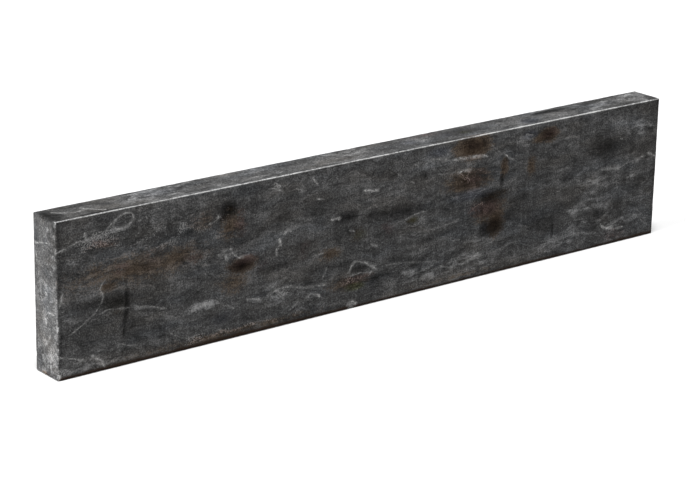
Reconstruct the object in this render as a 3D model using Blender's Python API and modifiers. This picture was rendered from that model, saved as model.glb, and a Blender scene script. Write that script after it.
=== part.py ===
"""A sawn natural-stone edging slab, standing on its long narrow edge.

The whole object is one block of dark, dense stone. It is sawn flat on six sides and honed, its
twelve edges are eased to a narrow rounded arris, and a few flakes have broken off the edges.

Metres, +Z up. The origin is the middle of the base. +X runs along the length to the right end,
as seen by someone facing the front face, and +Y runs from the front face to the back.
"""

import math
from dataclasses import dataclass

import bpy
import bmesh
from mathutils import Matrix, Vector

# Driving dimensions of the block.
SLAB_LENGTH = 1.000
SLAB_HEIGHT = 0.200
SLAB_THICKNESS = 0.050

# The eased edges.
ARRIS_WIDTH = 0.0016
ARRIS_SEGMENTS = 3

# A flake leaves a shallow, nearly flat scar, because the break is part of a much larger round.
SCAR_ROUNDNESS = 0.020
SCAR_SEGMENTS = 96
SCAR_RINGS = 40

# Where the flakes are missing, each measured from the nearest corner of the block.
LEFT_EDGE_CHIP_UP = 0.066
LEFT_EDGE_NICK_UP = 0.040
LOWER_EDGE_CHIP_ALONG = 0.447
CORNER_CHIP_UP = 0.0045

# The stone's colour and finish.
STONE_COLOUR = (0.058, 0.058, 0.060, 1.0)
STONE_ROUGHNESS = 0.62


@dataclass(frozen=True)
class Scar:
    """A flake's scar: where its middle is on the block's sharp edge, and how big it is.

    along is the direction of the edge, and into points from the edge into the stone. A scar
    whose into leans towards one face reaches further over the other. length is measured along
    the sharp edge, and depth straight in from it.
    """

    name: str
    middle: Vector
    along: Vector
    into: Vector
    length: float
    depth: float


def clear_scene():
    """Remove every object, so that the script gives the same result in any open file."""
    for old in list(bpy.data.objects):
        bpy.data.objects.remove(old, do_unlink=True)


def new_collection(name):
    """A new collection linked to the scene."""
    collection = bpy.data.collections.new(name)
    bpy.context.scene.collection.children.link(collection)
    return collection


def new_object(name, mesh_builder, collection):
    """An object whose mesh is filled by a function that takes an empty bmesh."""
    shape = bmesh.new()
    mesh_builder(shape)
    bmesh.ops.recalc_face_normals(shape, faces=shape.faces)
    mesh = bpy.data.meshes.new(name)
    shape.to_mesh(mesh)
    shape.free()
    made = bpy.data.objects.new(name, mesh)
    collection.objects.link(made)
    return made


def stone_material():
    """The slab's plain material: dark honed stone, matt and not metallic."""
    material = bpy.data.materials.new("dark_honed_stone")
    material.use_nodes = True
    shader = material.node_tree.nodes["Principled BSDF"]
    shader.inputs["Base Color"].default_value = STONE_COLOUR
    shader.inputs["Roughness"].default_value = STONE_ROUGHNESS
    shader.inputs["Metallic"].default_value = 0.0
    material.diffuse_color = STONE_COLOUR
    return material


def sawn_block(collection):
    """The rectangular block, standing on its base, with every edge eased by a Bevel."""
    size = Matrix.Diagonal((SLAB_LENGTH, SLAB_THICKNESS, SLAB_HEIGHT, 1.0))
    block = new_object(
        "edging_slab",
        lambda shape: bmesh.ops.create_cube(shape, size=1.0, matrix=size),
        collection,
    )
    block.location.z = SLAB_HEIGHT / 2
    block.data.materials.append(stone_material())

    easing = block.modifiers.new("eased_arris", "BEVEL")
    easing.width = ARRIS_WIDTH
    easing.segments = ARRIS_SEGMENTS
    easing.limit_method = "ANGLE"
    easing.angle_limit = math.radians(60)
    return block


def scars():
    """The missing flakes, placed from the block's own corners."""
    left = -SLAB_LENGTH / 2
    front = -SLAB_THICKNESS / 2
    upright = Vector((0.0, 0.0, 1.0))
    lengthwise = Vector((1.0, 0.0, 0.0))
    return (
        Scar(
            name="left_edge_chip",
            middle=Vector((left, front, LEFT_EDGE_CHIP_UP)),
            along=upright,
            into=Vector((1.0, 0.4, 0.0)).normalized(),
            length=0.0105,
            depth=0.0023,
        ),
        Scar(
            name="left_edge_nick",
            middle=Vector((left, front, LEFT_EDGE_NICK_UP)),
            along=upright,
            into=Vector((1.0, 0.6, 0.0)).normalized(),
            length=0.0070,
            depth=0.0017,
        ),
        Scar(
            name="lower_edge_chip",
            middle=Vector((left + LOWER_EDGE_CHIP_ALONG, front, 0.0)),
            along=lengthwise,
            into=Vector((0.0, 1.0, 0.8)).normalized(),
            length=0.0150,
            depth=0.0024,
        ),
        Scar(
            name="corner_chip",
            middle=Vector((left, front, CORNER_CHIP_UP)),
            along=upright,
            into=Vector((1.0, 1.0, 0.0)).normalized(),
            length=0.0100,
            depth=0.0026,
        ),
    )


def scar_cutter(scar, collection):
    """The large egg whose tip breaks one scar out of the edge.

    Seen along the edge the egg is a circle of radius r, the roundness, and its middle stands
    off the sharp edge by r - depth. It then meets the edge at a share s = sqrt(1 - ((r -
    depth) / r)^2) of its half axis along the edge, so that half axis is length / 2 / s.
    """
    across = scar.into.cross(scar.along)
    turned = Matrix((across, scar.into, scar.along)).transposed().to_4x4()
    stand_off = SCAR_ROUNDNESS - scar.depth
    share = math.sqrt(1.0 - (stand_off / SCAR_ROUNDNESS) ** 2)
    size = Matrix.Diagonal((SCAR_ROUNDNESS, SCAR_ROUNDNESS, scar.length / 2 / share, 1.0))
    cutter = new_object(
        scar.name,
        lambda shape: bmesh.ops.create_uvsphere(
            shape,
            u_segments=SCAR_SEGMENTS,
            v_segments=SCAR_RINGS,
            radius=1.0,
            matrix=turned @ size,
        ),
        collection,
    )
    cutter.location = scar.middle - scar.into * stand_off
    cutter.hide_render = True
    cutter.display_type = "WIRE"
    return cutter


def cut(block, cutter):
    """Take one cutter's volume out of the block."""
    difference = block.modifiers.new(cutter.name, "BOOLEAN")
    difference.operation = "DIFFERENCE"
    difference.solver = "EXACT"
    difference.object = cutter


def main():
    """Build the block, then break its flakes off."""
    clear_scene()
    stone = new_collection("edging_stone")
    helpers = new_collection("cutters")
    block = sawn_block(stone)
    for scar in scars():
        cut(block, scar_cutter(scar, helpers))


main()
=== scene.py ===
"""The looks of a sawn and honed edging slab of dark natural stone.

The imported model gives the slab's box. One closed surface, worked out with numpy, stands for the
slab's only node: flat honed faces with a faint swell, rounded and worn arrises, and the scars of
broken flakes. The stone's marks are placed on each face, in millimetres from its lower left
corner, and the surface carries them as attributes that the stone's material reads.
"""

import logging
import math
from collections.abc import Mapping, Sequence
from dataclasses import dataclass, field
from enum import Enum

import bpy
import numpy as np
from mathutils import Matrix, Vector


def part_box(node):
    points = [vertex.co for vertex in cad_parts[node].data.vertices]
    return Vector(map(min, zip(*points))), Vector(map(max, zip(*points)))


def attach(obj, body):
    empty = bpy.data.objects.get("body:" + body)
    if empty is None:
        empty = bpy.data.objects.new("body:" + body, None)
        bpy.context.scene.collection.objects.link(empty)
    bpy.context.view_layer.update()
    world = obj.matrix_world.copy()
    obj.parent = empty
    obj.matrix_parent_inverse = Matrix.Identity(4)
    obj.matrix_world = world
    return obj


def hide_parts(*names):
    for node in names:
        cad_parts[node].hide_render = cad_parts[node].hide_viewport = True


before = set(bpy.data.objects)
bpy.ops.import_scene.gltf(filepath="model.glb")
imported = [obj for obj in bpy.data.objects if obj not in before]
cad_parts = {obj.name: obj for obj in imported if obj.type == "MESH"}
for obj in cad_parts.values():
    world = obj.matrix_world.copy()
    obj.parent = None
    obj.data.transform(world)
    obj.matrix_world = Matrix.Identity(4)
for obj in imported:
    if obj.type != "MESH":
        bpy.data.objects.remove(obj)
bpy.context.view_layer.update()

MM = 0.001
RIPPLE_SPREAD = (0.6, 1.6)
RIPPLE_HEIGHT = 0.6
RING_POINTS = 17
LOG = logging.getLogger("edging_slab")

Pair = tuple[float, float]
Triple = tuple[float, float, float]


def smoothstep(low: float, high: float, values: np.ndarray) -> np.ndarray:
    """Ease from 0 at low to 1 at high: t * t * (3 - 2 * t), where t is the clamped share of the way.

    Args:
        low: where the result is 0; it may be above high.
        high: where the result is 1.
        values: the numbers to ease.

    Returns:
        The eased numbers, from 0 to 1.
    """
    share = np.clip((values - low) / (high - low), 0.0, 1.0)
    return share * share * (3.0 - 2.0 * share)


def ripple(points: np.ndarray, wavelength: float, seed: int, waves: int = 14) -> np.ndarray:
    """A smooth random field: the sum of plane waves, sin(k . p + phase), in random directions,
    scaled by sqrt(2 / waves) and by the ripple height.

    Args:
        points: places, one row each, in metres.
        wavelength: the mean distance between crests, in metres.
        seed: chooses the directions and phases.
        waves: how many waves are added.

    Returns:
        One number for each point, mostly between -1 and 1.
    """
    dice = np.random.default_rng(seed)
    ways = dice.normal(size=(waves, 3))
    ways /= np.linalg.norm(ways, axis=1, keepdims=True)
    numbers = 2.0 * math.pi / (wavelength * dice.uniform(*RIPPLE_SPREAD, size=(waves, 1)))
    phases = dice.uniform(0.0, 2.0 * math.pi, size=waves)
    total = np.sin(points @ (ways * numbers).T + phases).sum(axis=1)
    return total * math.sqrt(2.0 / waves) * RIPPLE_HEIGHT


# ------------------------------------------------------------------ marks in the stone


class Face(Enum):
    """A face of the slab, as the directions to the right and up for someone looking at it."""

    FRONT = ((1, 0, 0), (0, 0, 1))
    BACK = ((-1, 0, 0), (0, 0, 1))
    TOP = ((1, 0, 0), (0, 1, 0))
    BASE = ((1, 0, 0), (0, -1, 0))
    LEFT_END = ((0, -1, 0), (0, 0, 1))
    RIGHT_END = ((0, 1, 0), (0, 0, 1))

    @property
    def right(self) -> np.ndarray:
        """The direction to the viewer's right."""
        return np.array(self.value[0], float)

    @property
    def up(self) -> np.ndarray:
        """The direction that the viewer sees as up."""
        return np.array(self.value[1], float)

    @property
    def outward(self) -> np.ndarray:
        """The direction out of the stone, towards the viewer."""
        return np.cross(self.right, self.up)


class Tone(Enum):
    """What a patch does to the stone, as the attribute and the channel that carry it."""

    RUST = ("iron", 0)
    WINE = ("iron", 1)
    COOL = ("iron", 2)
    DARK = ("cloud", 0)
    PALE = ("cloud", 1)
    CRYSTAL = ("cloud", 2)


class Line(Enum):
    """The kinds of line in the stone, as the attributes that carry them."""

    VEIN = "vein"
    SHELL = "shell"
    CRACK = "crack"


@dataclass(frozen=True)
class Patch:
    """A cloud of one tone, with its middle, half widths and tilt in millimetres and degrees."""

    tone: Tone
    middle: Pair
    reach: Pair
    strength: float = 1.0
    tilt: float = 0.0


@dataclass(frozen=True)
class Thread:
    """A line through a few points in millimetres, with its full width in millimetres."""

    kind: Line
    points: tuple[Pair, ...]
    width: float = 1.2
    glow: float = 0.7


def ring(kind: Line, middle: Pair, radii: Pair, tilt: float, width: float, glow: float) -> Thread:
    """A closed oval line: the middle plus the turned half axes times the cosine and the sine.

    Args:
        kind: the kind of line.
        middle: the oval's middle, in millimetres.
        radii: its half axes, in millimetres.
        tilt: how far it is turned, in degrees.
        width: the line's width, in millimetres.
        glow: the line's strength.

    Returns:
        The oval as a thread.
    """
    angles = np.linspace(0.0, 2.0 * math.pi, RING_POINTS)
    along, across = radii[0] * np.cos(angles), radii[1] * np.sin(angles)
    turn = math.radians(tilt)
    x = middle[0] + along * math.cos(turn) - across * math.sin(turn)
    y = middle[1] + along * math.sin(turn) + across * math.cos(turn)
    return Thread(kind, tuple(zip(x.tolist(), y.tolist())), width, glow)


FRONT_PATCHES = (
    # The brown cloud of fine iron specks at the left.
    Patch(Tone.RUST, (118, 121), (84, 17), 0.72),
    Patch(Tone.RUST, (56, 127), (18, 11), 0.65),
    Patch(Tone.PALE, (62, 127), (26, 9), 0.50),
    Patch(Tone.RUST, (103, 119), (12, 9), 0.88),
    Patch(Tone.RUST, (72, 106), (13, 7), 0.85),
    Patch(Tone.DARK, (72, 106), (12, 6), 0.48),
    Patch(Tone.RUST, (200, 118), (14, 8), 0.70),
    Patch(Tone.PALE, (198, 116), (17, 10), 1.05),
    Patch(Tone.RUST, (174, 124), (28, 12), 0.80, 4),
    Patch(Tone.WINE, (90, 125), (12, 7), 0.50),
    Patch(Tone.WINE, (137, 128), (14, 11), 0.42),
    Patch(Tone.PALE, (137, 130), (18, 10), 0.72),
    Patch(Tone.WINE, (198, 118), (14, 8), 0.55),
    Patch(Tone.CRYSTAL, (118, 121), (80, 16), 0.36),
    # The pink crystal cluster and the oval shell above it.
    Patch(Tone.CRYSTAL, (60, 167), (21, 7), 1.80, 8),
    Patch(Tone.PALE, (62, 168), (20, 5), 0.90, 8),
    Patch(Tone.WINE, (62, 162), (22, 7), 0.45),
    Patch(Tone.RUST, (66, 158), (20, 7), 0.40),
    Patch(Tone.DARK, (95, 184), (12, 6), 0.46, 16),
    Patch(Tone.CRYSTAL, (130, 186), (60, 16), 0.50),
    Patch(Tone.CRYSTAL, (170, 158), (150, 30), 0.50),
    Patch(Tone.PALE, (160, 174), (70, 14), 0.40),
    Patch(Tone.PALE, (140, 141), (130, 12), 0.30),
    Patch(Tone.PALE, (23, 150), (14, 8), 0.45),
    Patch(Tone.PALE, (170, 147), (22, 9), 0.55, -8),
    Patch(Tone.DARK, (16, 131), (24, 4), 0.28, -12),
    Patch(Tone.DARK, (168, 156), (30, 8), 0.42, -42),
    Patch(Tone.DARK, (205, 137), (26, 6), 0.28, -14),
    Patch(Tone.DARK, (100, 158), (5, 12), 0.45),
    # The dark blotch under it, with its run.
    Patch(Tone.DARK, (52, 88), (50, 9), 0.58, 4),
    Patch(Tone.DARK, (48, 58), (46, 18), 0.50),
    Patch(Tone.DARK, (82, 84), (22, 9), 0.92),
    Patch(Tone.DARK, (98, 77), (4, 17), 0.95),
    Patch(Tone.DARK, (95, 52), (3, 12), 0.65),
    Patch(Tone.COOL, (84, 82), (22, 10), -0.20),
    Patch(Tone.PALE, (132, 67), (30, 6), 0.45, -8),
    Patch(Tone.RUST, (82, 70), (16, 6), 0.30),
    Patch(Tone.DARK, (82, 68), (18, 7), 0.50),
    Patch(Tone.PALE, (60, 22), (46, 14), 0.35),
    # The bright lens.
    Patch(Tone.PALE, (209, 51), (18, 3.4), 1.90, 2),
    Patch(Tone.PALE, (212, 54), (12, 3.0), 2.60),
    Patch(Tone.PALE, (194, 48), (13, 3.0), 0.90, 14),
    Patch(Tone.CRYSTAL, (194, 46), (14, 4), 0.40),
    Patch(Tone.PALE, (75, 101), (40, 5), 0.55, 6),
    Patch(Tone.PALE, (150, 111), (46, 5), 0.45),
    Patch(Tone.CRYSTAL, (195, 12), (22, 6), 0.90),
    Patch(Tone.CRYSTAL, (245, 13), (10, 5), 0.90),
    Patch(Tone.DARK, (4, 100), (2.2, 150), 0.55),
    Patch(Tone.DARK, (205, 64), (24, 4), 0.42),
    Patch(Tone.DARK, (222, 33), (34, 9), 0.42),
    # The round dark eye with the rust that has run out of it.
    Patch(Tone.RUST, (213, 163), (18, 12), 0.60),
    Patch(Tone.PALE, (208, 166), (18, 11), 0.85),
    Patch(Tone.WINE, (205, 168), (12, 8), 0.35),
    Patch(Tone.DARK, (251, 170), (9.5, 8), 1.50),
    Patch(Tone.COOL, (252, 170), (9, 8), -0.26),
    Patch(Tone.RUST, (253, 171), (8, 7), 0.52),
    Patch(Tone.DARK, (243, 162), (8, 4), 1.00, 30),
    Patch(Tone.RUST, (256, 150), (16, 17), 0.80),
    Patch(Tone.RUST, (250, 147), (7, 8), 1.00),
    Patch(Tone.WINE, (268, 150), (8, 16), 0.60),
    Patch(Tone.DARK, (290, 168), (16, 9), 0.62),
    # The white knots and the dark red stain beneath.
    Patch(Tone.CRYSTAL, (251, 111), (14, 6), 0.25),
    Patch(Tone.RUST, (272, 95), (17, 8), 1.25),
    Patch(Tone.DARK, (270, 93), (16, 6), 1.10),
    Patch(Tone.WINE, (274, 99), (17, 8), 0.70),
    Patch(Tone.RUST, (260, 74), (22, 14), 0.60),
    Patch(Tone.WINE, (303, 90), (12, 8), 0.45),
    Patch(Tone.DARK, (325, 81), (34, 6), 0.65),
    Patch(Tone.RUST, (247, 134), (12, 5), 0.50),
    Patch(Tone.PALE, (330, 42), (30, 8), 0.60),
    Patch(Tone.CRYSTAL, (335, 45), (34, 6), 0.70),
    Patch(Tone.WINE, (367, 99), (9, 12), 0.45),
    Patch(Tone.DARK, (367, 99), (9, 12), 0.42),
    Patch(Tone.COOL, (240, 30), (16, 8), 0.45),
    Patch(Tone.DARK, (238, 31), (15, 8), 0.58),
    # The middle of the face.
    Patch(Tone.RUST, (411, 81), (16, 8), 0.75),
    Patch(Tone.DARK, (411, 81), (14, 7), 0.40),
    Patch(Tone.DARK, (352, 99), (48, 17), 0.52),
    Patch(Tone.DARK, (446, 104), (44, 16), 0.46),
    Patch(Tone.DARK, (438, 62), (70, 11), 0.42),
    Patch(Tone.DARK, (456, 100), (13, 10), 0.46),
    Patch(Tone.RUST, (456, 100), (12, 10), 0.45),
    Patch(Tone.COOL, (459, 99), (12, 7), -0.35),
    Patch(Tone.DARK, (439, 126), (14, 7), 0.98),
    Patch(Tone.DARK, (488, 122), (22, 7), 0.50),
    Patch(Tone.DARK, (525, 117), (40, 10), 0.74, -3),
    Patch(Tone.DARK, (560, 116), (14, 5), 0.78),
    Patch(Tone.DARK, (502, 119), (28, 8), 0.66),
    Patch(Tone.DARK, (545, 117), (26, 8), 0.52),
    Patch(Tone.RUST, (549, 103), (9, 4), 0.60),
    Patch(Tone.DARK, (549, 101), (9, 4), 0.80),
    Patch(Tone.COOL, (549, 102), (8, 4), -0.50),
    Patch(Tone.WINE, (506, 97), (9, 8), 0.70),
    Patch(Tone.DARK, (461, 53), (14, 5), 0.78),
    Patch(Tone.RUST, (443, 37), (30, 8), 0.80),
    Patch(Tone.WINE, (454, 40), (20, 6), 0.65),
    Patch(Tone.PALE, (448, 40), (24, 5), 0.90),
    Patch(Tone.DARK, (426, 42), (14, 5), 0.42),
    Patch(Tone.COOL, (453, 29), (12, 4), -0.90),
    Patch(Tone.CRYSTAL, (449, 39), (24, 6), 0.66),
    Patch(Tone.DARK, (487, 34), (17, 6), 0.72),
    Patch(Tone.DARK, (530, 51), (36, 5), 0.42, -12),
    Patch(Tone.PALE, (580, 22), (36, 8), 0.48),
    Patch(Tone.PALE, (362, 24), (44, 12), 0.40),
    Patch(Tone.PALE, (548, 30), (44, 12), 0.56),
    Patch(Tone.PALE, (905, 28), (90, 13), 0.40),
    Patch(Tone.DARK, (567, 161), (8, 6), 0.75),
    Patch(Tone.COOL, (590, 188), (16, 6), 0.60),
    Patch(Tone.DARK, (572, 70), (16, 5), 0.65),
    Patch(Tone.DARK, (425, 152), (50, 12), 0.38),
    # The brown patches right of the middle.
    Patch(Tone.RUST, (650, 185), (24, 13), 1.50),
    Patch(Tone.DARK, (651, 186), (24, 13), 0.36),
    Patch(Tone.RUST, (659, 186), (9, 7), 2.00),
    Patch(Tone.RUST, (644, 139), (31, 13), 1.00),
    Patch(Tone.RUST, (628, 134), (14, 8), 0.80),
    Patch(Tone.WINE, (656, 140), (16, 10), 0.70),
    Patch(Tone.CRYSTAL, (643, 145), (26, 10), 0.70),
    Patch(Tone.CRYSTAL, (643, 171), (34, 3), 1.10),
    Patch(Tone.COOL, (652, 119), (28, 6), 0.80),
    Patch(Tone.PALE, (650, 120), (28, 5), 0.85),
    Patch(Tone.DARK, (688, 111), (22, 8), 1.00),
    Patch(Tone.RUST, (690, 108), (22, 9), 0.55),
    Patch(Tone.WINE, (676, 96), (21, 9), 0.95),
    Patch(Tone.RUST, (684, 92), (24, 16), 0.85),
    Patch(Tone.RUST, (695, 76), (13, 18), 1.10),
    Patch(Tone.DARK, (688, 66), (16, 9), 1.45),
    Patch(Tone.CRYSTAL, (666, 103), (18, 4), 0.60),
    Patch(Tone.RUST, (708, 147), (6, 12), 1.00),
    Patch(Tone.DARK, (705, 129), (4, 7), 0.90),
    Patch(Tone.DARK, (710, 157), (5, 4), 0.55),
    Patch(Tone.RUST, (758, 141), (7, 13), 0.84),
    Patch(Tone.DARK, (758, 142), (7, 12), 0.40),
    Patch(Tone.RUST, (787, 181), (14, 8), 1.30),
    Patch(Tone.RUST, (772, 177), (11, 5), 1.00),
    Patch(Tone.RUST, (796, 186), (6, 6), 0.70),
    Patch(Tone.DARK, (788, 182), (14, 8), 0.34),
    Patch(Tone.WINE, (790, 182), (12, 7), 0.60),
    Patch(Tone.COOL, (754, 186), (10, 5), 0.80),
    Patch(Tone.PALE, (744, 181), (22, 9), 0.55),
    Patch(Tone.DARK, (748, 96), (26, 34), 0.42),
    Patch(Tone.DARK, (780, 56), (34, 24), 0.48),
    Patch(Tone.DARK, (718, 78), (14, 8), 0.75),
    Patch(Tone.PALE, (640, 28), (44, 12), 0.48),
    Patch(Tone.PALE, (832, 30), (46, 11), 0.80, 10),
    # The paler right end of the face, with its dark clouds.
    Patch(Tone.PALE, (905, 92), (115, 60), 0.27),
    Patch(Tone.PALE, (968, 165), (16, 8), 0.72),
    Patch(Tone.DARK, (896, 144), (36, 19), 0.58),
    Patch(Tone.DARK, (904, 148), (14, 9), 0.90),
    Patch(Tone.DARK, (838, 136), (18, 6), 0.42),
    Patch(Tone.DARK, (824, 114), (12, 6), 0.62),
    Patch(Tone.PALE, (824, 115), (7, 2), 0.45),
    Patch(Tone.DARK, (898, 168), (12, 12), 0.42),
    Patch(Tone.PALE, (889, 64), (16, 5), 0.90),
    Patch(Tone.PALE, (847, 61), (13, 4), 0.85),
    Patch(Tone.DARK, (886, 50), (8, 7), 0.62),
    Patch(Tone.DARK, (928, 62), (13, 14), 0.50),
    Patch(Tone.DARK, (802, 42), (2, 10), 0.80),
    Patch(Tone.WINE, (922, 12), (20, 7), 0.50),
    Patch(Tone.RUST, (925, 11), (16, 5), 0.40),
    Patch(Tone.PALE, (922, 12), (20, 7), 0.70),
    Patch(Tone.CRYSTAL, (950, 160), (44, 20), 0.40),
    Patch(Tone.CRYSTAL, (920, 24), (26, 6), 0.60),
    Patch(Tone.PALE, (917, 24), (24, 4), 0.60),
    # Pink and yellow grains in the fringe above the lower edge's band of grime and painted contact shade.
    Patch(Tone.RUST, (250, 9), (150, 5), 0.55),
    Patch(Tone.CRYSTAL, (240, 12), (130, 5), 0.60),
    Patch(Tone.RUST, (640, 8), (120, 4), 0.40),
    Patch(Tone.PALE, (60, 9), (50, 5), 0.52),
    Patch(Tone.CRYSTAL, (8, 8), (9, 7), 1.20),
    Patch(Tone.PALE, (7, 8), (9, 6), 1.20),
    Patch(Tone.CRYSTAL, (448, 5), (11, 5), 0.95),
    Patch(Tone.PALE, (449, 4), (8, 4), 0.90),
)

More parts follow.
